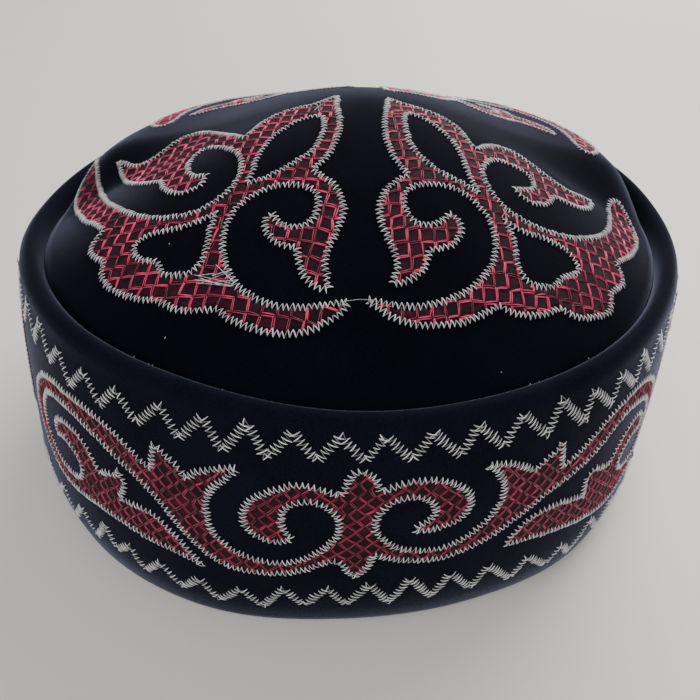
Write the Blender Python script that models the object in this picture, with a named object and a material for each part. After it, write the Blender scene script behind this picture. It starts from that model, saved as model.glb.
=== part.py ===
"""Velvet skullcap: a tall soft band whose top edge rolls over, and a domed crown sewn in just inside that roll.

Metres, +Z up. The origin is under the middle of the cap, on the level of the hem, and -Y is the front.
"""
import math

import bmesh
import bpy
from mathutils import Vector

# Driving dimensions
BASE_RADIUS = 0.0905
SHOULDER_RADIUS = 0.0880
BAND_HEIGHT = 0.0700
BAND_BULGE = 0.0034
SEAM_INSET = 0.0045
SEAM_DEPTH = 0.0043
CROWN_RISE = 0.0340
APEX_SHIFT = (0.0030, 0.0020)
CLOTH_THICKNESS = 0.0016
SEAM_ALLOWANCE = 0.0050
SEAM_GAP = 0.0003
HEM_ROUND = 0.0005

# How full the dome is: 2 is a parabola, lower is more pointed
DOME_POWER = 1.6

# Facets
TURN_STEPS = 64
ROLL_STEPS = 6
DOME_STEPS = 12

# Plan of the cap, one row for each sixteenth of a turn, from the left side round by the front.
# Columns: base share of BASE_RADIUS, shoulder share of SHOULDER_RADIUS, rim share of BAND_HEIGHT
PLAN = (
    (1.034, 0.997, 0.991),
    (1.024, 0.995, 1.017),
    (1.013, 0.989, 1.006),
    (0.979, 0.973, 0.990),
    (0.930, 0.963, 0.959),
    (0.930, 0.960, 0.963),
    (0.965, 0.969, 0.973),
    (0.964, 0.981, 0.980),
    (0.974, 1.005, 0.987),
    (0.990, 1.025, 1.019),
    (1.006, 1.033, 1.041),
    (1.020, 1.032, 1.037),
    (1.030, 1.025, 1.029),
    (1.038, 1.018, 1.026),
    (1.041, 1.011, 1.020),
    (1.040, 1.000, 1.001),
)
BASE, SHOULDER, RIM = range(3)
FIRST_ROW_ANGLE = -math.pi

# The band's wall from the hem to the roll.
# Columns: height share of the wall, bulge share of BAND_BULGE
WALL_SECTIONS = (
    (0.03, 0.28),
    (0.10, 0.68),
    (0.21, 0.98),
    (0.34, 1.00),
    (0.48, 0.95),
    (0.62, 0.86),
    (0.76, 0.76),
    (0.89, 0.56),
    (1.00, 0.30),
)
ROLL_BULGE = WALL_SECTIONS[-1][1]

# Base colours, linear
BAND_COLOUR = (0.008, 0.010, 0.024, 1.0)
CROWN_COLOUR = (0.007, 0.008, 0.018, 1.0)
VELVET_ROUGHNESS = 0.9
SMOOTH_ANGLE = math.radians(50)


def clear_scene():
    for old in list(bpy.data.objects):
        bpy.data.objects.remove(old)


def plan_value(column, turn):
    """A column of PLAN at a turn from 0 to 1, on a smooth closed curve through its rows."""
    place = turn * len(PLAN)
    row = math.floor(place)
    u = place - row
    a, b, c, d = (PLAN[(row + k) % len(PLAN)][column] for k in (-1, 0, 1, 2))
    linear = (c - a) * u
    square = (2 * a - 5 * b + 4 * c - d) * u ** 2
    cube = (3 * b - a - 3 * c + d) * u ** 3
    return b + 0.5 * (linear + square + cube)


def base_radius(turn):
    return BASE_RADIUS * plan_value(BASE, turn)


def shoulder_radius(turn):
    return SHOULDER_RADIUS * plan_value(SHOULDER, turn)


def rim_height(turn):
    return BAND_HEIGHT * plan_value(RIM, turn)


def seam_radius(turn):
    return shoulder_radius(turn) - SEAM_INSET


def seam_height(turn):
    return rim_height(turn) - SEAM_DEPTH


def mean_seam_height():
    return BAND_HEIGHT * sum(row[RIM] for row in PLAN) / len(PLAN) - SEAM_DEPTH


def point_at(radius, height, turn):
    """A point at a radius from the axis that PLAN is measured from."""
    angle = FIRST_ROW_ANGLE + math.tau * turn
    return Vector((radius * math.cos(angle), radius * math.sin(angle), height))


def wall_line(turn, inset):
    """Points of the wall from the hem up to the roll, set in from its outer face."""
    base = base_radius(turn)
    lean = shoulder_radius(turn) - base
    top = seam_height(turn)
    return [(base + lean * share + BAND_BULGE * bulge - inset, top * share) for share, bulge in WALL_SECTIONS]


def roll_line(turn, inset):
    """Half an ellipse from the top of the wall over to the seam, set in from its outer face."""
    outer = shoulder_radius(turn) + BAND_BULGE * ROLL_BULGE
    inner = seam_radius(turn)
    middle = (outer + inner) / 2
    half_width = (outer - inner) / 2 - inset
    half_height = SEAM_DEPTH - inset
    line = []
    for step in range(1, ROLL_STEPS + 1):
        angle = math.pi * step / ROLL_STEPS
        line.append((middle + half_width * math.cos(angle), seam_height(turn) + half_height * math.sin(angle)))
    return line


def band_section(turn):
    """The band's closed section: up the outside, over the roll, down the seam allowance and back inside."""
    base = base_radius(turn)
    allowance_end = seam_height(turn) - SEAM_ALLOWANCE
    outside = [(base - HEM_ROUND, 0.0), (base, HEM_ROUND)]
    outside += wall_line(turn, 0.0) + roll_line(turn, 0.0)
    allowance = [(seam_radius(turn), allowance_end), (seam_radius(turn) + CLOTH_THICKNESS, allowance_end)]
    inside = wall_line(turn, CLOTH_THICKNESS) + roll_line(turn, CLOTH_THICKNESS)
    hem = [(base - CLOTH_THICKNESS, 0.0)]
    return outside + allowance + inside[::-1] + hem


def dome_point(share, turn, inset):
    """A point of the crown, from its apex at share 0 to the seam at share 1, set in from its outer face."""
    edge = seam_radius(turn) - SEAM_GAP - inset
    middle = mean_seam_height()
    height = middle + (seam_height(turn) - middle) * share ** 2 + CROWN_RISE * (1 - share ** DOME_POWER) - inset
    return point_at(edge * share, height, turn) + Vector((*APEX_SHIFT, 0.0)) * (1 - share ** 2)


def allowance_point(turn, inset):
    """The lower end of the crown's seam allowance."""
    return point_at(seam_radius(turn) - SEAM_GAP - inset, seam_height(turn) - SEAM_ALLOWANCE, turn)


def outline_middle():
    """The middle of the cap's outline seen from above, which PLAN's axis misses by a few millimetres."""
    outline = []
    for step in range(TURN_STEPS):
        turn = step / TURN_STEPS
        outline += [point_at(radius, 0.0, turn) for radius, height in wall_line(turn, 0.0)]
    middle = [(min(point[axis] for point in outline) + max(point[axis] for point in outline)) / 2 for axis in (0, 1)]
    return Vector((*middle, 0.0))


def sweep(rings):
    """A surface through closed rings of points, each ring drawn out from the edges of the one before it."""
    bm = bmesh.new()
    order = bm.verts.layers.int.new("order")
    ring = bmesh.ops.create_circle(bm, segments=TURN_STEPS, radius=BASE_RADIUS)["verts"]
    for number, vert in enumerate(ring):
        vert[order] = number
        vert.co = rings[0][number]
    edges = list(bm.edges)
    for points in rings[1:]:
        drawn = bmesh.ops.extrude_edge_only(bm, edges=edges)["geom"]
        edges = [item for item in drawn if isinstance(item, bmesh.types.BMEdge) and len(item.link_faces) == 1]
        for vert in (item for item in drawn if isinstance(item, bmesh.types.BMVert)):
            vert.co = points[vert[order]]
    bmesh.ops.remove_doubles(bm, verts=list(bm.verts), dist=CLOTH_THICKNESS / 100)
    bmesh.ops.recalc_face_normals(bm, faces=list(bm.faces))
    return bm


def velvet(name, colour):
    material = bpy.data.materials.new(name)
    material.use_nodes = True
    shader = material.node_tree.nodes["Principled BSDF"]
    shader.inputs["Base Color"].default_value = colour
    shader.inputs["Roughness"].default_value = VELVET_ROUGHNESS
    shader.inputs["Metallic"].default_value = 0.0
    return material


def add_piece(name, bm, material, cap):
    mesh = bpy.data.meshes.new(name)
    bm.to_mesh(mesh)
    bm.free()
    mesh.materials.append(material)
    mesh.shade_smooth()
    mesh.set_sharp_from_angle(angle=SMOOTH_ANGLE)
    piece = bpy.data.objects.new(name, mesh)
    bpy.context.scene.collection.objects.link(piece)
    piece.parent = cap
    return piece


def band(cap):
    """The side of the cap, standing on its hem."""
    turns = [step / TURN_STEPS for step in range(TURN_STEPS)]
    sections = [band_section(turn) for turn in turns]
    rings = []
    for row in range(len(sections[0])):
        rings.append([point_at(*section[row], turn) for section, turn in zip(sections, turns)])
    rings.append(rings[0])
    return add_piece("band", sweep(rings), velvet("band_velvet", BAND_COLOUR), cap)


def crown(cap):
    """The domed top, with its edge turned down inside the band's seam."""
    turns = [step / TURN_STEPS for step in range(TURN_STEPS)]
    shares = [step / DOME_STEPS for step in range(DOME_STEPS + 1)]
    rings = [[dome_point(share, turn, 0.0) for turn in turns] for share in shares]
    rings.append([allowance_point(turn, 0.0) for turn in turns])
    rings.append([allowance_point(turn, CLOTH_THICKNESS) for turn in turns])
    rings += [[dome_point(share, turn, CLOTH_THICKNESS) for turn in turns] for share in reversed(shares)]
    return add_piece("crown", sweep(rings), velvet("crown_velvet", CROWN_COLOUR), cap)


def main():
    clear_scene()
    cap = bpy.data.objects.new("cap", None)
    cap.location = -outline_middle()
    bpy.context.scene.collection.objects.link(cap)
    band(cap)
    crown(cap)


main()
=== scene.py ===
"""Velvet skullcap with silver zigzag stitching round crimson net filling, standing on a pale table.

Charts and sizes are in millimetres and become metres where a piece is made.
"""
import math

import bmesh
import bpy
import numpy as np
from mathutils import Matrix, Vector


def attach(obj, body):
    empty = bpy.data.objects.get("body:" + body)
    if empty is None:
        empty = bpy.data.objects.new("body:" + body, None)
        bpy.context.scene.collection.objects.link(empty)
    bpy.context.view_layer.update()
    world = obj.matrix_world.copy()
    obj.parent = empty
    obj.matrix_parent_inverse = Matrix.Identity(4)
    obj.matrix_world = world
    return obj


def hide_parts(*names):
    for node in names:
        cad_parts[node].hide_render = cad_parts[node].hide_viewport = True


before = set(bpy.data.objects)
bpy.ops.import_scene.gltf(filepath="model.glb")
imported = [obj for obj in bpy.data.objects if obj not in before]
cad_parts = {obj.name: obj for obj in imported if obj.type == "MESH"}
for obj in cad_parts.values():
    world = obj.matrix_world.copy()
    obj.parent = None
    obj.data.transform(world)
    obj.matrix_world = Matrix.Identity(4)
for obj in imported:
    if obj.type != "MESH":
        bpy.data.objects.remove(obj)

MM = 0.001

# The cap's own shape, as the solids have it
BASE_RADIUS = 90.5
SHOULDER_RADIUS = 88.0
BAND_HEIGHT = 70.0
BAND_BULGE = 3.4
SEAM_INSET = 4.5
SEAM_DEPTH = 4.3
CROWN_RISE = 34.0
APEX_SHIFT = (3.0, 2.0)
CLOTH_THICKNESS = 1.6
SEAM_ALLOWANCE = 5.0
SEAM_GAP = 0.3
HEM_ROUND = 0.5
DOME_POWER = 1.6

# The soft crown puffs up beside its seam round the back and hides the roll there
PUFF_RISE = 8.0

# It starts where the sine of the angle is PUFF_START and is full PUFF_RUN further on. It loses PUFF_LOSS at
# the middle of the back, and PUFF_PEAK makes its hump one high.
PUFF_START = -0.1
PUFF_RUN = 0.3
PUFF_LOSS = 0.4
PUFF_PEAK = 3.53

# Plan, one row for each sixteenth of a turn, from the left side round by the front.
# Columns: base share of BASE_RADIUS, shoulder share of SHOULDER_RADIUS, rim share of BAND_HEIGHT
PLAN = np.array((
    (1.034, 0.997, 0.991),
    (1.024, 0.995, 1.017),
    (1.013, 0.989, 1.006),
    (0.979, 0.973, 0.990),
    (0.930, 0.963, 0.959),
    (0.930, 0.960, 0.963),
    (0.965, 0.969, 0.973),
    (0.964, 0.981, 0.980),
    (0.974, 1.005, 0.987),
    (0.990, 1.025, 1.019),
    (1.006, 1.033, 1.041),
    (1.020, 1.032, 1.037),
    (1.030, 1.025, 1.029),
    (1.038, 1.018, 1.026),
    (1.041, 1.011, 1.020),
    (1.040, 1.000, 1.001),
))
BASE, SHOULDER, RIM = range(3)

# Bulge of the band's wall. Columns: height share, bulge share of BAND_BULGE
WALL = np.array((
    (0.00, 0.12), (0.03, 0.28), (0.10, 0.68), (0.21, 0.98), (0.34, 1.00), (0.48, 0.95),
    (0.62, 0.86), (0.76, 0.76), (0.89, 0.56), (1.00, 0.30),
))
ROLL_BULGE = WALL[-1, 1]

# Steps of the fine cloth
TURN_STEPS = 256
WALL_STEPS = 34
ROLL_STEPS = 14
DOME_STEPS = 44

# The charts lie on the cloth: the band's strip is measured along the wall at STRIP_SHARE of its height,
# from the front, and STRIP_RISE is the top of the wall. The crown's chart has its seam at CHART_RADIUS.
STRIP_SHARE = 0.6
STRIP_RISE = 66.0
ROLL_RISE = 8.0
CHART_RADIUS = 80.0

# Stitches
STITCH_PITCH = 1.15
STITCH_WIDTH = 1.9
CROWN_WIDTH = 1.75
ROW_WIDTH = 2.35
# Every other stitch of the zigzag rows is darker and thinner by this much: painted shade.
ROW_LEG_SHADE = 0.4
THREAD_RADIUS = 0.12
THREAD_RISE = 0.30

# Net filling: zigzag lines, each the mirror of the next, drawn with two strands
NET_PERIOD = 4.4
NET_SWING = 1.85
NET_GAP = 0.35
BAND_NET = 0.86
NET_STRANDS = 0.17
NET_RADIUS = 0.15
NET_RISE = 0.12

# Lean of the net's lines in degrees: crown motifs right and left, and band. The band's threads get only the
# darker tones, a painted shade.
RIGHT_LEAN = 56.0
LEFT_LEAN = 124.0
BAND_LEAN = 90.0
BAND_SHADED_TONES = (0.0, 0.35)

# The stitches lie on the cloth, and the filled ground under them
BED = 0.12
GROUND_LIFT = 0.10
GROUND_CELL = 0.8
GROUND_THICKNESS = 0.35

# Loose threads of the crown, each a row of places x, y. A scratch fit turned pixels read on the photo into
# these places and those of the bars and specks, so they are not readings by eye off the chart.
STRAY_THREADS = (
    (-34.8, -51.2, -26.0, -55.2), (-34.4, -52.4, -26.0, -55.6), (-34.0, -51.6, -30.4, -52.0),
    (-33.2, -53.6, -27.6, -52.4), (-34.0, -53.2, -26.4, -55.6), (-30.8, -52.4, -26.8, -52.0),
    (-30.4, -54.0, -25.6, -54.4), (-33.2, -52.4, -28.8, -54.8), (-30.4, -50.0, -26.0, -54.8),
    (32.4, -32.4, 34.0, -34.0), (33.6, -31.6, 32.0, -34.8, 33.2, -35.2),
    (-12.8, -1.2, -11.6, -8.8), (-11.6, -2.4, -13.2, -5.6), (-2.4, -60.0, 0.4, -59.6, 3.6, -59.6),
)
LEAF_BARS = ((4.4, -8.8, 10.4, -5.2), (4.8, -9.2, 8.4, -8.0))
LINT = ((-41.6, -41.6), (-38.4, -63.6), (31.2, -68.8))
LOOSE_RADIUS = 0.09
LOOSE_LIFT = 0.35

# A line of specks along the front of the seam: how many, how far out, and between which angles in degrees
SEAM_SPECK_COUNT = 26
SEAM_SPECK_RING = 79.2
SEAM_SPECK_SPAN = (-128.0, -48.0)

# Crown motif on the right of the front, each row a few points of the outline, x and y from the crown's middle
CROWN_RIGHT = (
    (4.9, 0.9), (4.6, -4.4), (4.2, -9.7), (4.1, -14.4), (4.5, -18.5), (5.4, -22.1), (6.8, -25.6),
    (8.9, -28.2), (10.1, -29.7), (8.0, -31.2), (5.6, -33.5), (3.9, -36.8), (3.4, -39.7), (4.2, -42.9),
    (5.6, -46.2), (7.4, -49.4), (8.1, -52.6), (7.1, -56.2), (9.8, -55.3), (12.4, -53.8), (14.2, -51.5),
    (14.8, -47.9), (17.4, -47.1), (20.1, -45.6), (21.8, -43.2), (22.2, -40.6), (20.6, -38.2),
    (19.5, -38.2), (18.3, -40.0), (16.2, -41.5), (13.9, -42.2), (11.5, -41.8), (9.8, -40.0),
    (8.9, -37.4), (9.5, -34.4), (11.5, -32.4), (15.1, -31.2), (18.6, -30.6), (22.7, -31.2),
    (26.2, -33.2), (29.2, -36.8), (30.4, -40.9), (30.1, -45.6), (28.6, -49.1), (26.2, -52.6),
    (23.3, -55.3), (19.8, -57.4), (16.2, -59.0), (12.1, -60.0), (8.0, -60.2), (3.9, -59.6), (1.8, -59.6),
    (4.5, -60.9), (7.4, -62.4), (10.9, -63.1), (15.1, -63.2), (19.2, -62.4), (22.7, -61.4), (26.2, -59.4),
    (29.2, -57.4), (30.9, -56.1), (33.9, -56.6), (36.8, -56.2), (40.4, -55.0), (43.3, -53.2),
    (45.6, -51.5), (48.6, -51.9), (52.1, -50.9), (55.6, -48.8), (58.6, -46.5), (59.9, -43.8),
    (60.1, -40.9), (61.8, -38.5), (64.2, -35.6), (64.8, -32.9), (64.2, -30.9), (63.3, -29.7),
    (65.6, -26.8), (68.6, -23.2), (71.2, -18.5), (73.3, -13.2), (74.1, -8.5), (73.3, -3.8), (70.6, 0.0),
    (67.7, -0.9), (65.9, -5.6), (65.1, -10.9), (63.6, -16.8), (60.9, -21.5), (57.4, -25.6), (53.3, -28.8),
    (48.6, -31.2), (43.9, -32.5), (39.2, -32.8), (35.6, -32.2), (32.7, -30.9), (30.4, -28.5),
    (28.6, -25.0), (28.0, -21.5), (28.9, -18.5), (30.9, -15.6), (33.9, -14.1), (37.4, -13.8),
    (40.4, -14.4), (41.8, -16.8), (41.5, -19.7), (39.2, -21.8), (36.2, -23.2), (38.0, -25.0),
    (40.9, -25.3), (43.9, -23.8), (45.9, -21.5), (47.1, -18.5), (49.8, -17.6), (52.7, -17.1),
    (55.6, -15.6), (58.3, -13.2), (60.1, -8.5), (56.8, -9.4), (53.3, -10.9), (49.8, -11.0), (46.2, -10.0),
    (43.3, -8.5), (40.4, -7.4), (37.4, -6.5), (34.5, -7.1), (31.5, -8.5), (29.2, -10.9), (27.1, -13.8),
    (25.4, -12.1), (23.9, -8.5), (21.5, -5.3), (18.6, -3.2), (15.1, -2.1), (11.5, -1.5), (8.0, -0.9),
)
LEAF_RIGHT = (
    (9.5, -6.2), (12.7, -6.5), (15.6, -8.2), (18.6, -10.9), (21.2, -14.4), (23.0, -18.5), (23.9, -22.6),
    (25.1, -26.2), (26.8, -30.0), (24.5, -28.8), (20.4, -27.6), (16.8, -26.2), (13.9, -24.1),
    (11.2, -21.2), (9.8, -17.4), (9.2, -13.2), (8.9, -9.1),
)
HEART_RIGHT = (
    (32.6, -34.4), (35.1, -35.7), (38.6, -35.9), (42.1, -35.3), (45.6, -35.1), (48.6, -35.3),
    (50.6, -36.8), (51.8, -38.8), (50.6, -40.9), (48.6, -42.4), (46.5, -44.1), (45.1, -46.2),
    (42.7, -47.9), (39.8, -48.8), (37.1, -47.9), (35.4, -45.0), (35.2, -40.9), (34.2, -37.6),
)

# Crown motif on the left of the front
CROWN_LEFT = (
    (-7.9, 3.2), (-7.9, -2.1), (-7.4, -7.4), (-6.9, -12.1), (-7.1, -16.8), (-7.9, -20.9), (-9.4, -25.0),
    (-12.4, -28.8), (-9.4, -31.5), (-6.5, -34.4), (-5.0, -37.9), (-4.7, -41.5), (-5.6, -45.0),
    (-7.1, -49.1), (-7.4, -52.6), (-6.2, -57.9), (-8.8, -57.1), (-11.5, -55.0), (-12.9, -52.1),
    (-13.8, -48.5), (-16.8, -47.9), (-19.4, -46.2), (-21.2, -43.2), (-21.2, -40.3), (-20.0, -39.7),
    (-18.8, -41.8), (-16.5, -43.5), (-13.5, -43.8), (-11.2, -42.6), (-10.3, -39.7), (-10.6, -36.2),
    (-12.9, -33.8), (-16.5, -32.4), (-20.6, -32.1), (-24.1, -33.2), (-27.6, -35.6), (-29.4, -39.1),
    (-30.0, -43.2), (-29.3, -47.9), (-27.6, -52.1), (-25.3, -55.6), (-21.8, -58.2), (-17.6, -60.3),
    (-12.9, -61.0), (-8.2, -60.9), (-4.1, -60.3), (-1.8, -60.0), (-3.2, -62.1), (-6.5, -64.1),
    (-10.0, -65.6), (-14.1, -65.9), (-18.2, -65.3), (-22.4, -63.8), (-25.9, -62.1), (-28.8, -59.7),
    (-32.9, -59.2), (-36.5, -58.2), (-39.4, -56.5), (-42.4, -54.4), (-45.3, -53.5), (-48.8, -51.5),
    (-52.4, -48.8), (-55.0, -45.9), (-56.5, -42.6), (-56.8, -40.0), (-58.8, -37.9), (-61.2, -35.0),
    (-61.6, -32.1), (-60.9, -30.3), (-60.0, -28.2), (-62.9, -24.4), (-66.5, -20.3), (-69.4, -15.6),
    (-72.4, -9.7), (-75.0, -3.8), (-76.2, 2.0), (-75.5, 7.5), (-72.6, 11.5), (-71.4, 6.5), (-69.4, -0.3),
    (-65.9, -8.5), (-62.4, -15.6), (-58.2, -21.5), (-53.5, -26.8), (-48.8, -30.6), (-44.1, -32.9),
    (-38.8, -34.0), (-34.7, -33.2), (-31.2, -30.9), (-29.1, -27.4), (-28.8, -22.6), (-30.0, -17.9),
    (-32.9, -13.8), (-36.5, -10.3), (-39.4, -8.5), (-41.8, -10.3), (-42.6, -13.8), (-42.1, -17.9),
    (-40.0, -20.9), (-36.8, -22.6), (-37.6, -25.6), (-41.2, -26.2), (-44.7, -24.4), (-47.4, -20.9),
    (-48.8, -17.4), (-52.4, -15.0), (-56.5, -11.5), (-60.0, -6.8), (-63.2, -0.3), (-65.0, 4.5),
    (-62.0, 2.0), (-59.4, 0.0), (-56.5, -0.5), (-52.9, 0.8), (-49.4, 3.8), (-45.9, 4.8), (-42.4, 3.6),
    (-38.8, 0.4), (-35.3, -3.8), (-32.4, -7.4), (-30.0, -10.3), (-28.5, -8.5), (-25.9, -4.4),
    (-22.4, -1.5), (-18.2, -0.6), (-13.5, -0.6),
)
LEAF_LEFT = (
    (-11.8, -8.2), (-15.3, -8.2), (-18.8, -10.3), (-22.1, -13.2), (-24.1, -17.4), (-25.6, -22.1),
    (-25.9, -26.2), (-27.1, -29.4), (-23.5, -29.1), (-19.4, -27.4), (-16.2, -25.3), (-12.9, -22.6),
    (-11.2, -18.5), (-10.5, -13.8), (-10.7, -10.3),
)
HEART_LEFT = (
    (-32.4, -36.2), (-34.7, -36.8), (-38.8, -37.4), (-42.9, -37.1), (-46.5, -36.5), (-49.4, -37.3),
    (-50.2, -38.9), (-49.4, -41.2), (-47.1, -43.5), (-44.4, -44.7), (-42.9, -46.8), (-41.8, -48.8),
    (-38.8, -50.0), (-35.3, -50.0), (-33.5, -47.4), (-33.2, -43.8), (-33.2, -39.7),
)

# Band ornament, from the top of the middle post to its foot, along the strip and up from the hem
SCROLL_RIGHT = (
    (3.3, 58.2), (6.3, 55.3), (7.2, 52.0), (9.1, 52.8), (11.9, 53.9), (14.7, 54.3), (18.0, 54.1),
    (21.3, 52.8), (24.4, 50.6), (26.6, 47.6), (27.4, 44.8), (26.6, 42.0), (24.7, 39.8), (21.9, 38.7),
    (19.1, 38.1), (16.6, 38.4), (14.9, 39.2), (16.3, 40.3), (18.3, 41.4), (19.4, 43.7), (18.8, 46.4),
    (17.2, 48.4), (14.7, 49.6), (12.2, 49.5), (9.4, 48.1), (7.4, 45.6), (6.6, 42.6), (6.9, 39.2),
    (8.6, 36.4), (10.8, 33.9), (13.6, 32.3), (16.9, 31.2), (20.8, 30.9), (24.7, 31.7), (28.0, 33.7),
    (31.3, 36.7), (33.6, 39.8), (34.9, 43.7), (34.8, 47.6), (33.6, 50.6), (31.9, 53.7), (29.7, 55.3),
    (32.4, 54.8), (35.8, 53.7), (39.1, 51.7), (42.2, 49.2), (44.1, 50.9), (46.3, 52.3), (48.3, 53.7),
    (48.7, 55.3), (49.4, 50.3), (50.2, 46.7), (53.0, 47.8), (56.3, 49.8), (59.7, 52.0), (63.0, 53.9),
    (66.9, 55.3), (71.3, 56.2), (75.8, 56.4), (80.0, 55.8), (84.5, 54.0), (88.5, 50.6), (91.3, 46.0),
    (92.3, 40.5), (91.3, 35.0), (88.5, 29.8), (84.5, 25.5), (79.5, 22.3), (74.0, 20.6), (68.0, 20.9),
    (63.6, 21.7), (59.1, 22.6), (54.7, 23.7), (50.2, 24.2), (45.8, 25.1), (42.4, 25.3), (38.3, 25.9),
    (40.2, 29.2), (42.4, 31.7), (45.8, 33.4), (49.1, 33.8), (52.4, 33.7), (55.8, 32.8), (58.6, 32.0),
    (60.5, 31.2), (59.9, 34.8), (60.2, 38.1), (62.4, 39.0), (64.7, 38.1), (66.9, 37.3), (69.1, 36.7),
    (70.2, 38.7), (71.9, 40.9), (74.1, 43.1), (77.0, 44.8), (80.0, 45.2), (83.0, 43.9), (84.9, 41.3),
    (84.9, 38.0), (82.7, 38.8), (79.9, 39.1), (77.1, 38.0), (75.0, 36.0), (74.1, 33.3), (75.4, 30.6),
    (78.8, 29.3), (82.7, 29.3), (86.0, 31.3), (88.0, 35.0), (88.3, 39.5), (87.3, 44.0), (84.5, 47.8),
    (80.5, 50.1), (75.8, 51.2), (71.9, 51.2), (68.0, 50.1), (64.7, 48.1), (61.3, 45.9), (58.0, 44.2),
    (54.7, 42.8), (51.3, 41.4), (48.0, 40.3), (45.2, 38.7), (42.4, 36.7), (39.1, 34.5), (35.8, 32.3),
    (31.9, 30.1), (28.0, 28.7), (24.1, 27.6), (20.2, 27.3), (15.8, 27.8), (11.9, 28.9), (9.1, 30.1),
    (6.6, 31.7), (6.3, 29.8), (5.5, 27.0), (2.7, 23.1),
)
SCROLL_LEFT = (
    (1.4, 57.0), (0.3, 53.7), (-0.8, 50.9), (-3.6, 52.0), (-6.3, 52.8), (-9.1, 53.0), (-11.9, 52.1),
    (-14.7, 50.6), (-18.0, 48.1), (-20.2, 45.6), (-21.3, 42.6), (-21.3, 39.2), (-19.7, 36.4),
    (-17.4, 35.1), (-14.7, 34.5), (-12.4, 35.2), (-10.8, 36.2), (-11.9, 37.3), (-12.7, 39.2),
    (-13.3, 41.7), (-12.7, 44.8), (-11.3, 46.7), (-9.1, 48.1), (-6.3, 48.4), (-3.6, 47.0), (-1.3, 44.2),
    (-0.8, 41.4), (-1.3, 38.1), (-3.0, 35.3), (-5.2, 32.6), (-8.0, 30.1), (-11.3, 28.1), (-15.2, 27.3),
    (-19.1, 27.6), (-23.0, 28.7), (-26.3, 31.2), (-28.6, 33.9), (-29.4, 37.6), (-29.7, 41.4),
    (-29.1, 44.8), (-27.4, 48.1), (-25.2, 50.9), (-21.8, 54.9), (-25.2, 53.9), (-28.0, 52.6),
    (-30.8, 50.9), (-34.1, 48.1), (-36.1, 50.9), (-39.1, 52.8), (-41.3, 54.2), (-41.9, 51.4),
    (-42.4, 47.0), (-44.7, 47.6), (-46.9, 49.2), (-49.7, 50.9), (-53.0, 52.3), (-56.3, 53.4),
    (-60.2, 53.9), (-64.7, 54.2), (-69.1, 53.9), (-73.6, 53.9), (-77.5, 53.2), (-82.0, 51.3),
    (-86.0, 47.6), (-88.6, 42.5), (-88.8, 36.5), (-86.4, 31.0), (-82.0, 26.8), (-76.0, 24.6),
    (-70.5, 24.4), (-65.8, 24.8), (-62.4, 25.3), (-58.0, 25.3), (-53.6, 25.1), (-49.1, 24.5),
    (-44.7, 23.9), (-40.2, 23.7), (-36.9, 23.1), (-34.1, 22.6), (-31.9, 21.4), (-34.1, 24.2),
    (-36.9, 27.6), (-39.7, 30.3), (-42.4, 32.3), (-45.2, 33.1), (-48.6, 33.1), (-51.3, 32.8),
    (-53.0, 32.8), (-51.6, 35.9), (-51.1, 38.1), (-52.2, 41.7), (-53.6, 39.2), (-55.8, 38.9),
    (-58.6, 37.0), (-60.8, 39.2), (-62.4, 41.7), (-65.2, 43.7), (-68.0, 44.5), (-71.3, 44.2),
    (-74.7, 43.1), (-76.9, 40.9), (-76.9, 37.6), (-74.7, 38.4), (-71.9, 38.7), (-69.1, 37.6),
    (-66.9, 35.9), (-66.1, 33.1), (-67.4, 30.3), (-70.8, 28.9), (-74.7, 28.9), (-79.0, 30.5),
    (-82.3, 33.8), (-83.8, 38.3), (-83.2, 43.0), (-80.8, 47.0), (-77.5, 49.2), (-73.6, 49.8),
    (-69.1, 50.1), (-64.1, 49.5), (-59.7, 48.4), (-55.8, 47.0), (-52.4, 45.3), (-48.6, 43.7),
    (-45.2, 41.4), (-42.4, 39.2), (-39.7, 36.4), (-36.9, 33.1), (-34.1, 29.8), (-31.9, 27.6),
    (-29.1, 25.3), (-25.8, 23.7), (-22.4, 23.1), (-18.6, 23.1), (-14.7, 23.4), (-11.3, 24.5),
    (-8.0, 25.9), (-4.7, 28.1), (-1.9, 29.2), (-0.2, 28.2), (0.9, 25.9),
)
BAND_REPEATS = 3

# The back motifs of the crown are the right one turned or mirrored: scale, then shift
BACK_LEFT = (0.80, (-1.0, 20.0))
BACK_RIGHT = (0.88, (0.5, 11.0))

# Zigzag rows. Columns: peak along the strip, peak height, next valley along the strip, its height
UPPER_TEETH = (
    (-71.3, 64.0, -66.9, 57.0), (-61.3, 63.7, -56.3, 57.6), (-51.1, 63.7, -45.5, 57.9),
    (-39.4, 64.8, -35.0, 58.2), (-29.4, 65.6, -25.2, 58.6), (-19.7, 66.6, -16.0, 59.3),
    (-10.5, 66.7, -5.8, 60.2), (-1.0, 66.7, 3.8, 60.6), (7.8, 66.7, 13.3, 60.2), (17.2, 66.7, 23.3, 59.8),
    (26.8, 66.7, 33.0, 59.4), (36.8, 66.7, 43.7, 58.9), (46.9, 66.7, 54.4, 57.7), (56.3, 65.6, 63.4, 58.3),
    (66.3, 65.3, 73.0, 58.8),
)
LOWER_TEETH = (
    (-60.2, 19.2, -57.4, 12.3), (-52.4, 17.0, -48.6, 10.1), (-43.3, 16.7, -38.6, 9.8),
    (-33.0, 15.9, -28.8, 9.0), (-23.0, 15.9, -18.6, 9.2), (-13.3, 18.1, -9.1, 11.2), (-3.3, 18.7, 0.9, 11.7),
    (6.3, 20.1, 11.1, 11.5), (15.5, 21.2, 21.1, 11.7), (25.2, 20.1, 31.3, 11.5), (34.9, 19.2, 42.7, 9.5),
    (46.1, 17.3, 53.6, 8.8), (57.2, 15.0, 61.6, 8.6),
)
TEETH_ROUND = 59
UPPER_REST = (66.2, 58.6)
LOWER_REST = (18.0, 11.0)

# Camera, from the photograph: place, and turns in degrees
CAMERA_PLACE = (0.0020, -0.1860, 0.1573)
CAMERA_DOWN = 37.16
CAMERA_YAW = 0.063
CAMERA_ROLL = 1.829


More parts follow.
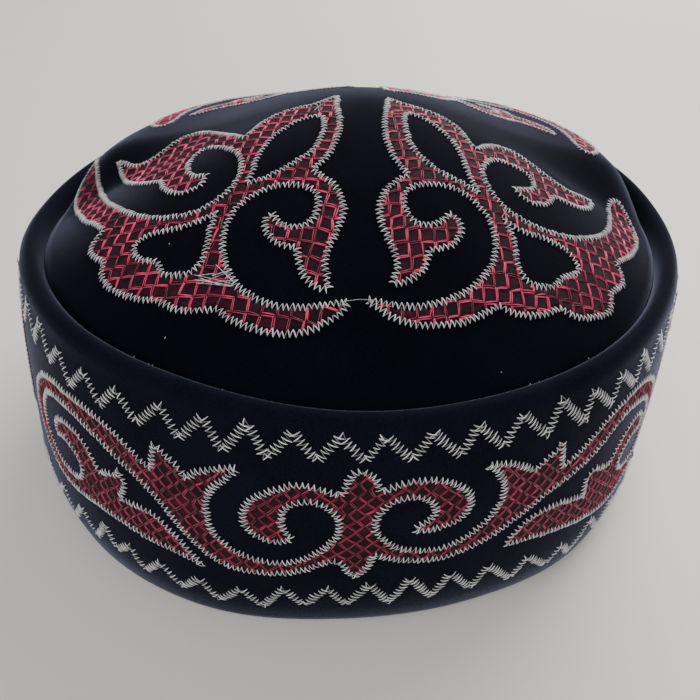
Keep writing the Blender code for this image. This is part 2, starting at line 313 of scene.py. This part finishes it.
def plan_value(column, angle):
    """A column of PLAN at angles round the cap, on a smooth closed curve through its rows."""
    place = (angle + math.pi) / math.tau * len(PLAN)
    row = np.floor(place).astype(int)
    u = place - row
    a, b, c, d = (PLAN[(row + k) % len(PLAN), column] for k in (-1, 0, 1, 2))
    return b + 0.5 * ((c - a) * u + (2 * a - 5 * b + 4 * c - d) * u ** 2 + (3 * b - a - 3 * c + d) * u ** 3)


def soft_bulge():
    """The wall's bulge at even steps of its height, with the corners between rows rounded off."""
    shares = np.linspace(0.0, 1.0, 201)
    bulges = np.interp(shares, WALL[:, 0], WALL[:, 1])
    padded = np.concatenate([2 * bulges[0] - bulges[12:0:-1], bulges, 2 * bulges[-1] - bulges[-2:-14:-1]])
    weights = np.hanning(27)[1:-1]
    return shares, np.convolve(padded, weights / weights.sum(), mode="valid")


BULGE_SHARES, BULGES = soft_bulge()


def shoulder_radius(angle):
    """Radius of the top of the wall."""
    return SHOULDER_RADIUS * plan_value(SHOULDER, angle)


def seam_radius(angle):
    """Radius of the seam between band and crown."""
    return shoulder_radius(angle) - SEAM_INSET


def seam_height(angle):
    """Height of the seam above the hem."""
    return BAND_HEIGHT * plan_value(RIM, angle) - SEAM_DEPTH


MEAN_SEAM = BAND_HEIGHT * PLAN[:, RIM].mean() - SEAM_DEPTH


def at(radius, height, angle):
    """Points at a radius, a height and an angle round the cap's axis."""
    return np.stack([radius * np.cos(angle), radius * np.sin(angle), height + 0.0 * angle], -1)


def wall_point(angle, share, inset=0.0):
    """On the band's wall, set in from its outer face."""
    base = BASE_RADIUS * plan_value(BASE, angle)
    bulge = BAND_BULGE * np.interp(share, BULGE_SHARES, BULGES)
    radius = base + (shoulder_radius(angle) - base) * share + bulge
    return at(radius - inset, seam_height(angle) * share, angle)


def roll_point(angle, share, inset=0.0):
    """On the roll, from the top of the wall at share 0 over to the seam at share 1."""
    outer = shoulder_radius(angle) + BAND_BULGE * ROLL_BULGE
    inner = seam_radius(angle)
    turn = math.pi * share
    radius = (outer + inner) / 2 + ((outer - inner) / 2 - inset) * np.cos(turn)
    return at(radius, seam_height(angle) + (SEAM_DEPTH - inset) * np.sin(turn), angle)


def dome_point(angle, share, inset=0.0):
    """On the crown, from its top at share 0 to the seam at share 1."""
    height = MEAN_SEAM + (seam_height(angle) - MEAN_SEAM) * share ** 2
    height = height + CROWN_RISE * (1 - share ** DOME_POWER) - inset
    spread = np.clip((np.sin(angle) - PUFF_START) / PUFF_RUN, 0.0, 1.0)
    spread = spread ** 2 * (3 - 2 * spread) * (1 - PUFF_LOSS * np.sin(angle) ** 2)
    height = height + PUFF_RISE * spread * PUFF_PEAK * share ** 5 * (1 - share ** 6)
    point = at((seam_radius(angle) - SEAM_GAP - inset) * share, height, angle)
    slide = 1 - share ** 2
    return point + np.stack([APEX_SHIFT[0] * slide, APEX_SHIFT[1] * slide, 0.0 * slide], -1)


def outline_middle():
    """The middle of the outline seen from above, as the solids have it."""
    turns = np.arange(64) / 64 * math.tau - math.pi
    low, high = np.full(2, 1e9), np.full(2, -1e9)
    for share, bulge in WALL[1:]:
        base = BASE_RADIUS * plan_value(BASE, turns)
        ring = at(base + (shoulder_radius(turns) - base) * share + BAND_BULGE * bulge, 0.0, turns)[:, :2]
        low, high = np.minimum(low, ring.min(0)), np.maximum(high, ring.max(0))
    return np.array([*(low + high) / 2, 0.0])


MIDDLE = outline_middle()


def strip_table():
    """Angles round the cap and how far along the strip each one is, zero at the front."""
    angles = np.linspace(-math.pi, math.pi, 4001)
    ring = wall_point(angles, np.full_like(angles, STRIP_SHARE))[:, :2]
    along = np.concatenate([[0.0], np.cumsum(np.linalg.norm(np.diff(ring, axis=0), axis=1))])
    return angles, along


STRIP_ANGLES, STRIP_ALONG = strip_table()
STRIP_LENGTH = STRIP_ALONG[-1]
STRIP_FRONT = np.interp(-math.pi / 2, STRIP_ANGLES, STRIP_ALONG)


def on_band(x, y):
    """Chart to cap: along the strip and up from the hem, over the roll above STRIP_RISE."""
    angle = np.interp((x + STRIP_FRONT) % STRIP_LENGTH, STRIP_ALONG, STRIP_ANGLES)
    share = y / STRIP_RISE
    wall = wall_point(angle, np.clip(share, 0.0, 1.0))
    roll = roll_point(angle, np.clip((y - STRIP_RISE) / ROLL_RISE, 0.0, 1.0))
    return np.where((share <= 1.0)[..., None], wall, roll) - MIDDLE


def on_crown(x, y):
    """Chart to cap: from the crown's middle, its seam at CHART_RADIUS."""
    share = np.minimum(np.hypot(x, y) / CHART_RADIUS, 1.0)
    return dome_point(np.arctan2(y, x), share) - MIDDLE


def unit(vectors):
    """The vectors made one long."""
    return vectors / np.maximum(np.linalg.norm(vectors, axis=-1, keepdims=True), 1e-9)


def laid(place, points):
    """Points of a chart on the cloth, and the cloth's outward directions there."""
    x, y = points[..., 0], points[..., 1]
    step = 0.3
    across = place(x + step, y) - place(x - step, y)
    up = place(x, y + step) - place(x, y - step)
    return place(x, y), unit(np.cross(across, up))


def finish_piece(name, mesh, material):
    """A smooth object of the mesh that rides on the root."""
    mesh.materials.append(material)
    mesh.shade_smooth()
    piece = bpy.data.objects.new(name, mesh)
    bpy.context.scene.collection.objects.link(piece)
    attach(piece, "root")
    return piece


def sweep(name, rings):
    """A closed cloth through rings of points, each ring drawn out from the edges of the one before it."""
    rings = [(ring - MIDDLE) * MM for ring in rings]
    bm = bmesh.new()
    order = bm.verts.layers.int.new("order")
    ring = bmesh.ops.create_circle(bm, segments=TURN_STEPS, radius=1.0)["verts"]
    for number, vert in enumerate(ring):
        vert[order] = number
        vert.co = rings[0][number]
    edges = list(bm.edges)
    for points in rings[1:]:
        drawn = bmesh.ops.extrude_edge_only(bm, edges=edges)["geom"]
        edges = [item for item in drawn if isinstance(item, bmesh.types.BMEdge) and len(item.link_faces) == 1]
        for vert in (item for item in drawn if isinstance(item, bmesh.types.BMVert)):
            vert.co = points[vert[order]]
    bmesh.ops.remove_doubles(bm, verts=list(bm.verts), dist=1e-6)
    bmesh.ops.recalc_face_normals(bm, faces=list(bm.faces))
    mesh = bpy.data.meshes.new(name)
    bm.to_mesh(mesh)
    bm.free()
    return mesh


def band_cloth(material):
    """The band, a closed cloth from the hem over the roll and back inside."""
    angles = np.arange(TURN_STEPS) / TURN_STEPS * math.tau - math.pi
    base = BASE_RADIUS * plan_value(BASE, angles) + BAND_BULGE * BULGES[0]
    wall = np.linspace(0.012, 1.0, WALL_STEPS)
    roll = np.linspace(0.0, 1.0, ROLL_STEPS + 1)[1:]
    end = seam_height(angles) - SEAM_ALLOWANCE
    rings = [at(base - HEM_ROUND, 0.0, angles), at(base - HEM_ROUND * 0.3, HEM_ROUND * 0.4, angles)]
    rings += [wall_point(angles, np.full_like(angles, share)) for share in wall]
    rings += [roll_point(angles, np.full_like(angles, share)) for share in roll]
    rings += [at(seam_radius(angles), end, angles), at(seam_radius(angles) + CLOTH_THICKNESS, end, angles)]
    rings += [roll_point(angles, np.full_like(angles, share), CLOTH_THICKNESS) for share in roll[::-2]]
    rings += [wall_point(angles, np.full_like(angles, share), CLOTH_THICKNESS) for share in wall[::-2]]
    rings += [at(base - CLOTH_THICKNESS, 0.0, angles)]
    rings.append(rings[0])
    piece = finish_piece("band_cloth", sweep("band_cloth", rings), material)
    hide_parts("band")


def crown_cloth(material):
    """The crown, a closed cloth with its edge turned down inside the seam."""
    angles = np.arange(TURN_STEPS) / TURN_STEPS * math.tau - math.pi
    shares = np.linspace(0.0, 1.0, DOME_STEPS)
    edge = seam_radius(angles) - SEAM_GAP
    end = seam_height(angles) - SEAM_ALLOWANCE
    rings = [dome_point(angles, np.full_like(angles, share)) for share in shares]
    rings += [at(edge, end, angles), at(edge - CLOTH_THICKNESS, end, angles)]
    rings += [dome_point(angles, np.full_like(angles, share), CLOTH_THICKNESS) for share in shares[::-3]]
    rings.append(dome_point(angles, np.zeros_like(angles), CLOTH_THICKNESS))
    piece = finish_piece("crown_cloth", sweep("crown_cloth", rings), material)
    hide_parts("crown")


def smooth_line(points, closed=True, spacing=0.3, corner=58.0):
    """A smooth line through charted points, kept sharp where it turns by more than the corner angle."""
    points = np.array(points, float)
    count = len(points)
    before = points - np.roll(points, 1, axis=0)
    after = np.roll(points, -1, axis=0) - points
    turn = np.abs(np.arctan2(np.cross(before, after), (before * after).sum(1)))
    slope = (np.roll(points, -1, axis=0) - np.roll(points, 1, axis=0)) / 2
    sharp = turn > math.radians(corner)
    if not closed:
        sharp[0] = sharp[-1] = True
    line = []
    for start in range(count if closed else count - 1):
        stop = (start + 1) % count
        chord = points[stop] - points[start]
        length = np.linalg.norm(chord)
        leave = chord if sharp[start] else unit(slope[start]) * length
        arrive = chord if sharp[stop] else unit(slope[stop]) * length
        u = np.arange(0.0, 1.0, spacing / max(length, spacing))[:, None]
        line.append(
            (2 * u ** 3 - 3 * u ** 2 + 1) * points[start] + (u ** 3 - 2 * u ** 2 + u) * leave
            + (3 * u ** 2 - 2 * u ** 3) * points[stop] + (u ** 3 - u ** 2) * arrive
        )
    if not closed:
        line.append(points[-1:])
    return np.concatenate(line)


def inside(points, loops):
    """Which points are inside the loops, where a loop inside another is a hole."""
    x, y = points[:, 0], points[:, 1]
    crossings = np.zeros(len(points), bool)
    for loop in loops:
        loop = loop[::2]
        for (x0, y0), (x1, y1) in zip(loop, np.roll(loop, -1, axis=0)):
            if y0 != y1:
                crossings ^= ((y0 > y) != (y1 > y)) & (x < (x1 - x0) * (y - y0) / (y1 - y0) + x0)
    return crossings


def stitch_shape():
    """One stitch, a thread of four sides along Z from 0 to 1, cut into short lengths."""
    bm = bmesh.new()
    bmesh.ops.create_cone(bm, cap_ends=True, segments=4, radius1=1.0, radius2=1.0, depth=1.0)
    bmesh.ops.translate(bm, verts=list(bm.verts), vec=(0.0, 0.0, 0.5))
    for cut in (0.18, 0.5, 0.82):
        everything = list(bm.verts) + list(bm.edges) + list(bm.faces)
        bmesh.ops.bisect_plane(bm, geom=everything, plane_co=(0.0, 0.0, cut), plane_no=(0.0, 0.0, 1.0))
    bm.verts.index_update()
    corners = np.array([tuple(vert.co) for vert in bm.verts])
    faces = np.array([[vert.index for vert in face.verts] for face in bm.faces])
    bm.free()
    return corners, faces


STITCH_CORNERS, STITCH_FACES = stitch_shape()


def stitches(name, runs, material, radius, rise):
    """A joined mesh of stitches. Each run holds their starts, ends, outward directions and tones."""
    start, stop, normal, tone = (np.concatenate([run[k] for run in runs]) for k in range(4))
    along = stop - start
    side = unit(np.cross(normal, along))
    lift = unit(np.cross(along, side))
    u = STITCH_CORNERS[:, 2][None, :, None]
    arch = np.sin(math.pi * u)
    middle = start[:, None] + along[:, None] * u + normal[:, None] * (BED + rise * arch)
    thick = radius * (0.55 + 0.45 * arch) * (0.65 + 0.6 * tone[:, None, None])
    wide, high = STITCH_CORNERS[:, 0][None, :, None], STITCH_CORNERS[:, 1][None, :, None]
    corners = middle + thick * (side[:, None] * wide + lift[:, None] * high)
    count, size = len(start), len(STITCH_CORNERS)
    faces = STITCH_FACES[None] + (np.arange(count) * size)[:, None, None]
    mesh = bpy.data.meshes.new(name)
    mesh.vertices.add(count * size)
    mesh.vertices.foreach_set("co", (corners * MM).astype(np.float32).ravel())
    mesh.loops.add(faces.size)
    mesh.loops.foreach_set("vertex_index", faces.astype(np.int32).ravel())
    mesh.polygons.add(faces.size // 4)
    mesh.polygons.foreach_set("loop_start", np.arange(0, faces.size, 4, dtype=np.int32))
    mesh.update(calc_edges=True)
    # Each stitch's tone sets its thickness and, in the thread's shader, where its colour lies between painted
    # shade and painted highlight.
    tones = mesh.attributes.new("tone", "FLOAT", "POINT")
    tones.data.foreach_set("value", np.repeat(tone, size).astype(np.float32))
    return finish_piece(name, mesh, material)


def satin(place, line, rng, width=STITCH_WIDTH, leg_shade=0.0, closed=True):
    """Zigzag stitches to and fro across a line of the chart; every other one is thicker and lighter, a
    painted highlight, and the rest are thinner and darker, a painted shade, darker still by the given amount.
    """
    if closed:
        line = np.concatenate([line, line[:1]])
    middle, normal = laid(place, line)
    along = np.concatenate([[0.0], np.cumsum(np.linalg.norm(np.diff(middle, axis=0), axis=1))])
    count = 2 * max(2, round(along[-1] / STITCH_PITCH))
    at_line = np.arange(count + 1) / count * along[-1]
    lean = np.where(np.arange(count + 1) % 2, 0.08 * STITCH_PITCH, 0.0)
    jitter = lean + rng.normal(0.0, 0.07 * STITCH_PITCH, count + 1)

    def read(values, where):
        where = where % along[-1] if closed else np.clip(where, 0.0, along[-1])
        return np.stack([np.interp(where, along, values[:, k]) for k in range(3)], -1)

    ahead = read(middle, at_line + 0.55) - read(middle, at_line - 0.55)
    outward = unit(read(normal, at_line))
    side = unit(np.cross(outward, ahead))
    sides = np.where(np.arange(count + 1) % 2, 1.0, -1.0)
    reach = width / 2 * (1 + rng.normal(0.0, 0.13, count + 1)) * sides
    ends = read(middle, at_line + jitter) + side * reach[:, None]
    # Every other stitch is lifted to the lighter tones, a painted highlight; the rest are lowered, a painted
    # shade.
    tone = rng.uniform(0.0, 0.5, count) + np.where(np.arange(count) % 2, 0.5, -leg_shade)
    return ends[:-1], ends[1:], outward[:-1], tone


def net(place, loops, rng, lean, tones=(0.0, 1.0), size=1.0):
    """Net filling inside the loops: zigzag lines that run at the lean angle, each the mirror of the next."""
    points = np.concatenate(loops)
    low, high = points.min(0), points.max(0)
    middle, reach = (low + high) / 2, np.linalg.norm(high - low) / 2
    along = np.array([math.cos(math.radians(lean)), math.sin(math.radians(lean))])
    across = np.array([-along[1], along[0]])
    period, swing, spacing = (size * value for value in (NET_PERIOD, NET_SWING, NET_SWING + NET_GAP))
    knots, lines = int(reach / period * 2) + 2, int(reach / spacing) + 2
    knot, line = np.meshgrid(np.arange(-knots, knots + 1), np.arange(-lines, lines + 1), indexing="ij")
    out = line * spacing + swing / 2 * np.where((knot + line) % 2, 1.0, -1.0)
    corners = middle + (knot * period / 2)[..., None] * along + out[..., None] * across
    corners += rng.normal(0.0, 0.16, corners.shape)
    start, stop = corners[:-1].reshape(-1, 2), corners[1:].reshape(-1, 2)
    shares = np.linspace(0.0, 1.0, 9)
    tests = np.stack([inside(start + (stop - start) * share, loops) for share in shares], 1)
    kept = tests.sum(1) >= 2
    start, stop, tests = start[kept], stop[kept], tests[kept]
    leg = stop - start
    aside = unit(np.stack([-leg[:, 1], leg[:, 0]], 1)) * NET_STRANDS
    tone = rng.uniform(*tones, len(start))
    first, last = shares[np.argmax(tests, 1)], shares[::-1][np.argmax(tests[:, ::-1], 1)]
    strands = []
    for side in (-1.0, 1.0):
        ends = [start + leg * share[:, None] + aside * side for share in (first, last)]
        ends = [end + rng.normal(0.0, 0.09, end.shape) for end in ends]
        (a, normal), (b, other) = (laid(place, end) for end in ends)
        strands.append((a, b, unit(normal + other), np.clip(tone + rng.normal(0.0, 0.15, len(a)), 0.0, 1.0)))
    return tuple(np.concatenate([strand[k] for strand in strands]) for k in range(4))


def loose_threads(place, rows, rng):
    """Threads that lie from point to point of a chart, each cut into short lengths that follow the cloth."""
    runs = []
    for row in rows:
        points = np.array(row, float).reshape(-1, 2)
        shares = np.linspace(0.0, len(points) - 1.0, 4 * (len(points) - 1) + 1)
        line = np.stack([np.interp(shares, np.arange(len(points)), points[:, k]) for k in (0, 1)], 1)
        spots, normal = laid(place, line)
        spots = spots + normal * LOOSE_LIFT
        runs.append((spots[:-1], spots[1:], normal[:-1], np.full(len(spots) - 1, rng.uniform(0.3, 0.9))))
    return runs


def pale_specks(rng):
    """Pale specks: a few caught on the crown's pile, and a line of them along the front of the seam."""
    spots = list(LINT)
    for angle in rng.uniform(*np.radians(SEAM_SPECK_SPAN), SEAM_SPECK_COUNT):
        spots.append((SEAM_SPECK_RING * math.cos(angle), SEAM_SPECK_RING * math.sin(angle)))
    rows = []
    for x, y in spots:
        turn, length = rng.uniform(0.0, math.pi), rng.uniform(0.15, 0.5)
        rows.append((x, y, x + length * math.cos(turn), y + length * math.sin(turn)))
    return rows


def ground(name, place, motifs, material):
    """The dark filled ground under the net, a thin sheet that ends under the outline stitches."""
    bm = bmesh.new()
    for loops in motifs:
        points = np.concatenate(loops)
        low, high = points.min(0), points.max(0)
        cells = np.ceil((high - low) / GROUND_CELL).astype(int)
        middle, size = (low + high) / 2, high - low
        shape = Matrix.Translation((*middle, 0.0)) @ Matrix.Diagonal((*size, 1.0, 1.0))
        columns, rows = (int(value) for value in cells)
        grid = bmesh.ops.create_grid(bm, x_segments=columns, y_segments=rows, size=0.5, matrix=shape)
        sheet = grid["verts"]
        spots = np.array([tuple(vert.co)[:2] for vert in sheet])
        kept = inside(spots, loops)
        outside = [vert for vert, keep in zip(sheet, kept) if not keep]
        bmesh.ops.delete(bm, geom=outside, context="VERTS")
    bmesh.ops.delete(bm, geom=[vert for vert in bm.verts if not vert.link_faces], context="VERTS")
    spots = np.array([tuple(vert.co)[:2] for vert in bm.verts])
    base, normal = laid(place, spots)
    for vert, point in zip(bm.verts, (base + normal * GROUND_LIFT) * MM):
        vert.co = point
    mesh = bpy.data.meshes.new(name)
    bm.to_mesh(mesh)
    bm.free()
    piece = finish_piece(name, mesh, material)
    wall = piece.modifiers.new("thickness", "SOLIDIFY")
    wall.thickness = GROUND_THICKNESS * MM
    wall.offset = -1.0


def turned(loop, turn=0.0, flip=False, scale=1.0, shift=(0.0, 0.0)):
    """A loop of the chart, mirrored front to back if flip, turned, scaled and moved."""
    x, y = loop[:, 0], -loop[:, 1] if flip else loop[:, 1]
    c, s = math.cos(turn), math.sin(turn)
    return np.stack([c * x - s * y, s * x + c * y], 1) * scale + np.array(shift)


def crown_motifs():
    """The loops of the crown's four motifs, with the lean of each one's net."""
    right = [smooth_line(chart) for chart in (CROWN_RIGHT, LEAF_RIGHT, HEART_RIGHT)]
    left = [smooth_line(chart) for chart in (CROWN_LEFT, LEAF_LEFT, HEART_LEFT)]
    back_left = [turned(loop, math.pi, False, *BACK_LEFT) for loop in right]
    back_right = [turned(loop, 0.0, True, *BACK_RIGHT) for loop in right]
    return ((right, RIGHT_LEAN), (left, LEFT_LEAN), (back_left, RIGHT_LEAN), (back_right, LEFT_LEAN))


def band_motifs():
    """The loops of the band's scroll, one outline for each repeat."""
    outline = smooth_line(SCROLL_RIGHT + SCROLL_LEFT[::-1])
    return [[outline + np.array([STRIP_LENGTH * k / BAND_REPEATS, 0.0])] for k in range(BAND_REPEATS)]


def teeth(chart, rest):
    """The line of a zigzag row round the band: charted teeth at the front, even ones elsewhere."""
    points = [point for x0, y0, x1, y1 in chart for point in ((x0, y0), (x1, y1))]
    first, last = chart[0][0], chart[-1][0]
    count = TEETH_ROUND - len(chart) + 1
    pitch = (first + STRIP_LENGTH - last) / count
    for number in range(1, count):
        points.append((last + pitch * number, rest[0]))
        points.append((last + pitch * (number + 0.5), rest[1]))
    points.append((first + STRIP_LENGTH, chart[0][1]))
    return smooth_line(points, closed=False)


def fibre_group():
    """A fine mask of short fibres and a broad mask of how they lie, for any cloth or thread."""
    group = bpy.data.node_groups.new("fibres", "ShaderNodeTree")
    for name, value in (("Fine Scale", 2500.0), ("Broad Scale", 60.0)):
        socket = group.interface.new_socket(name, in_out="INPUT", socket_type="NodeSocketFloat")
        socket.default_value = value
    for name in ("Fine", "Broad"):
        group.interface.new_socket(name, in_out="OUTPUT", socket_type="NodeSocketFloat")
    inputs, outputs = group.nodes.new("NodeGroupInput"), group.nodes.new("NodeGroupOutput")
    place = group.nodes.new("ShaderNodeTexCoord")
    for name, detail, rough in (("Fine", 3.0, 0.6), ("Broad", 4.0, 0.55)):
        noise = group.nodes.new("ShaderNodeTexNoise")
        noise.inputs["Detail"].default_value = detail
        noise.inputs["Roughness"].default_value = rough
        group.links.new(place.outputs["Object"], noise.inputs["Vector"])
        group.links.new(inputs.outputs[f"{name} Scale"], noise.inputs["Scale"])
        group.links.new(noise.outputs["Fac"], outputs.inputs[name])
    return group


def material_with(name, fibres, fine, broad):
    """A new material, its tree, its shader and a fibres node in it."""
    material = bpy.data.materials.new(name)
    material.use_nodes = True
    tree = material.node_tree
    node = tree.nodes.new("ShaderNodeGroup")
    node.node_tree = fibres
    node.inputs["Fine Scale"].default_value = fine
    node.inputs["Broad Scale"].default_value = broad
    return material, tree, tree.nodes["Principled BSDF"], node


def mixed(tree, mask, low, high, dark, light):
    """A colour between dark and light as the mask goes from low to high."""
    ramp = tree.nodes.new("ShaderNodeMapRange")
    ramp.inputs["From Min"].default_value = low
    ramp.inputs["From Max"].default_value = high
    tree.links.new(mask, ramp.inputs["Value"])
    mix = tree.nodes.new("ShaderNodeMix")
    mix.data_type = "RGBA"
    tree.links.new(ramp.outputs["Result"], mix.inputs["Factor"])
    for name, value in (("A", dark), ("B", light)):
        socket = next(item for item in mix.inputs if item.name == name and item.type == "RGBA")
        if isinstance(value, tuple):
            socket.default_value = (*value, 1.0)
        else:
            tree.links.new(value, socket)
    return next(item for item in mix.outputs if item.type == "RGBA")


def bumped(tree, shader, height, strength, distance):
    """Bump on the shader from a height."""
    bump = tree.nodes.new("ShaderNodeBump")
    bump.inputs["Strength"].default_value = strength
    bump.inputs["Distance"].default_value = distance
    tree.links.new(height, bump.inputs["Height"])
    tree.links.new(bump.outputs["Normal"], shader.inputs["Normal"])


def velvet(name, fibres, dark, light, sheen):
    """Short dense pile: near black seen from above it, paler where it is seen from the side."""
    material, tree, shader, node = material_with(name, fibres, 3200.0, 55.0)
    colour = mixed(tree, node.outputs["Broad"], 0.38, 0.62, dark, light)
    colour = mixed(tree, node.outputs["Fine"], 0.35, 0.8, colour, tuple(min(1.0, c * 2.2) for c in light))
    tree.links.new(colour, shader.inputs["Base Color"])
    shader.inputs["Roughness"].default_value = 0.9
    shader.inputs["Specular IOR Level"].default_value = 0.04
    shader.inputs["Sheen Weight"].default_value = sheen
    shader.inputs["Sheen Roughness"].default_value = 0.25
    shader.inputs["Sheen Tint"].default_value = (0.50, 0.52, 0.72, 1.0)
    bumped(tree, shader, node.outputs["Fine"], 0.35, 0.0003)
    return material


def thread(name, fibres, dark, light, roughness):
    """Shiny machine thread, each stitch a little lighter or darker than the next: its tone sets its colour
    between the dark end, a painted shade, and the light end, a painted highlight.
    """
    material, tree, shader, node = material_with(name, fibres, 5200.0, 90.0)
    tone = tree.nodes.new("ShaderNodeAttribute")
    tone.attribute_name = "tone"
    colour = mixed(tree, tone.outputs["Fac"], 0.0, 1.0, dark, light)
    tree.links.new(colour, shader.inputs["Base Color"])
    shader.inputs["Roughness"].default_value = roughness
    shader.inputs["Specular IOR Level"].default_value = 0.6
    shader.inputs["Sheen Weight"].default_value = 0.15
    bumped(tree, shader, node.outputs["Fine"], 0.4, 0.00008)
    return material


def filled_ground(name, fibres):
    """Dark filling stitches with redder patches."""
    material, tree, shader, node = material_with(name, fibres, 1900.0, 260.0)
    colour = mixed(tree, node.outputs["Broad"], 0.42, 0.68, (0.005, 0.002, 0.004), (0.050, 0.002, 0.013))
    colour = mixed(tree, node.outputs["Fine"], 0.50, 0.90, colour, (0.085, 0.004, 0.020))
    tree.links.new(colour, shader.inputs["Base Color"])
    shader.inputs["Roughness"].default_value = 0.75
    shader.inputs["Specular IOR Level"].default_value = 0.15
    shader.inputs["Sheen Weight"].default_value = 0.03
    bumped(tree, shader, node.outputs["Fine"], 0.6, 0.0002)
    return material


def floor():
    """The plain pale table that the cap stands on."""
    bm = bmesh.new()
    bmesh.ops.create_grid(bm, x_segments=1, y_segments=1, size=3.0)
    mesh = bpy.data.meshes.new("table")
    bm.to_mesh(mesh)
    bm.free()
    material = bpy.data.materials.new("table_top")
    material.use_nodes = True
    shader = material.node_tree.nodes["Principled BSDF"]
    shader.inputs["Base Color"].default_value = (0.90, 0.85, 0.79, 1.0)
    shader.inputs["Roughness"].default_value = 0.42
    mesh.materials.append(material)
    table = bpy.data.objects.new("table", mesh)
    bpy.context.scene.collection.objects.link(table)


def soft_light(name, place, size, power):
    """A broad lamp that faces the cap."""
    data = bpy.data.lights.new(name, "AREA")
    data.shape = "RECTANGLE"
    data.size, data.size_y = size
    data.energy = power
    light = bpy.data.objects.new(name, data)
    light.location = place
    light.rotation_euler = (Vector((0.0, 0.0, 0.04)) - Vector(place)).to_track_quat("-Z", "Y").to_euler()
    bpy.context.scene.collection.objects.link(light)


def studio():
    """Soft daylight from the back right, and a weak fill from the front."""
    world = bpy.data.worlds.new("room")
    world.use_nodes = True
    world.node_tree.nodes["Background"].inputs["Color"].default_value = (0.90, 0.93, 1.0, 1.0)
    world.node_tree.nodes["Background"].inputs["Strength"].default_value = 0.45
    bpy.context.scene.world = world
    soft_light("window_light", (0.55, 1.05, 0.95), (1.3, 0.9), 25.0)
    soft_light("front_fill", (-0.3, -0.8, 1.1), (1.2, 1.2), 9.0)


def camera():
    """The camera at the photograph's angle."""
    data = bpy.data.cameras.new("camera")
    data.lens = 36.0
    data.sensor_width = 36.0
    data.clip_start = 0.01
    down, yaw, roll = (math.radians(turn) for turn in (CAMERA_DOWN, CAMERA_YAW, CAMERA_ROLL))
    ahead = Vector((math.sin(yaw) * math.cos(down), math.cos(yaw) * math.cos(down), -math.sin(down)))
    level = Vector((math.cos(yaw), -math.sin(yaw), 0.0))
    upright = level.cross(ahead)
    right = math.cos(roll) * level + math.sin(roll) * upright
    up = math.cos(roll) * upright - math.sin(roll) * level
    view = bpy.data.objects.new("camera", data)
    view.matrix_world = Matrix.Translation(CAMERA_PLACE) @ Matrix((right, up, -ahead)).transposed().to_4x4()
    bpy.context.scene.collection.objects.link(view)
    bpy.context.scene.camera = view


def cap():
    """Every piece of the cap, in one order, from one seeded source of chance."""
    rng = np.random.default_rng(7)

    fibres = fibre_group()
    band_velvet = velvet("band_velvet_cloth", fibres, (0.002, 0.002, 0.004), (0.004, 0.004, 0.009), 0.62)
    crown_velvet = velvet("crown_velvet_cloth", fibres, (0.001, 0.001, 0.002), (0.002, 0.002, 0.005), 0.60)
    # Each thread's dark and light colours are its painted shade and painted highlight.
    silver = thread("silver_thread_stitches", fibres, (0.30, 0.28, 0.30), (1.0, 0.97, 0.98), 0.34)
    crimson = thread("crimson_thread_net", fibres, (0.17, 0.004, 0.028), (0.88, 0.045, 0.17), 0.36)
    maroon = filled_ground("maroon_filled_ground", fibres)

    band_cloth(band_velvet)
    crown_cloth(crown_velvet)

    motifs = crown_motifs()
    ground("crown_ground", on_crown, [loops for loops, lean in motifs], maroon)
    nets = [net(on_crown, loops, rng, lean) for loops, lean in motifs]
    nets += loose_threads(on_crown, LEAF_BARS, rng)
    stitches("crown_net", nets, crimson, NET_RADIUS, NET_RISE)
    for name, half in (("crown_outlines_front", motifs[:2]), ("crown_outlines_back", motifs[2:])):
        runs = [satin(on_crown, loop, rng, CROWN_WIDTH) for loops, lean in half for loop in loops]
        stitches(name, runs, silver, THREAD_RADIUS, THREAD_RISE)
    loose = loose_threads(on_crown, STRAY_THREADS, rng) + loose_threads(on_crown, pale_specks(rng), rng)
    stitches("crown_loose_threads", loose, silver, LOOSE_RADIUS, 0.0)

    repeats = band_motifs()
    ground("band_ground", on_band, repeats, maroon)
    # The band's net keeps to the thread's darker tones: painted shade.
    nets = [net(on_band, loops, rng, BAND_LEAN, BAND_SHADED_TONES, BAND_NET) for loops in repeats]
    for number, run in enumerate(nets):
        stitches(f"band_net_{number + 1}", [run], crimson, NET_RADIUS, NET_RISE)
    for number, loops in enumerate(repeats):
        runs = [satin(on_band, loop, rng) for loop in loops]
        stitches(f"band_outlines_{number + 1}", runs, silver, THREAD_RADIUS, THREAD_RISE)
    rows = (("upper_zigzag", UPPER_TEETH, UPPER_REST), ("lower_zigzag", LOWER_TEETH, LOWER_REST))
    for name, chart, rest in rows:
        run = satin(on_band, teeth(chart, rest), rng, ROW_WIDTH, ROW_LEG_SHADE, closed=False)
        stitches(name, [run], silver, THREAD_RADIUS, THREAD_RISE)


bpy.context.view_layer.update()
cap()
floor()
studio()
camera()
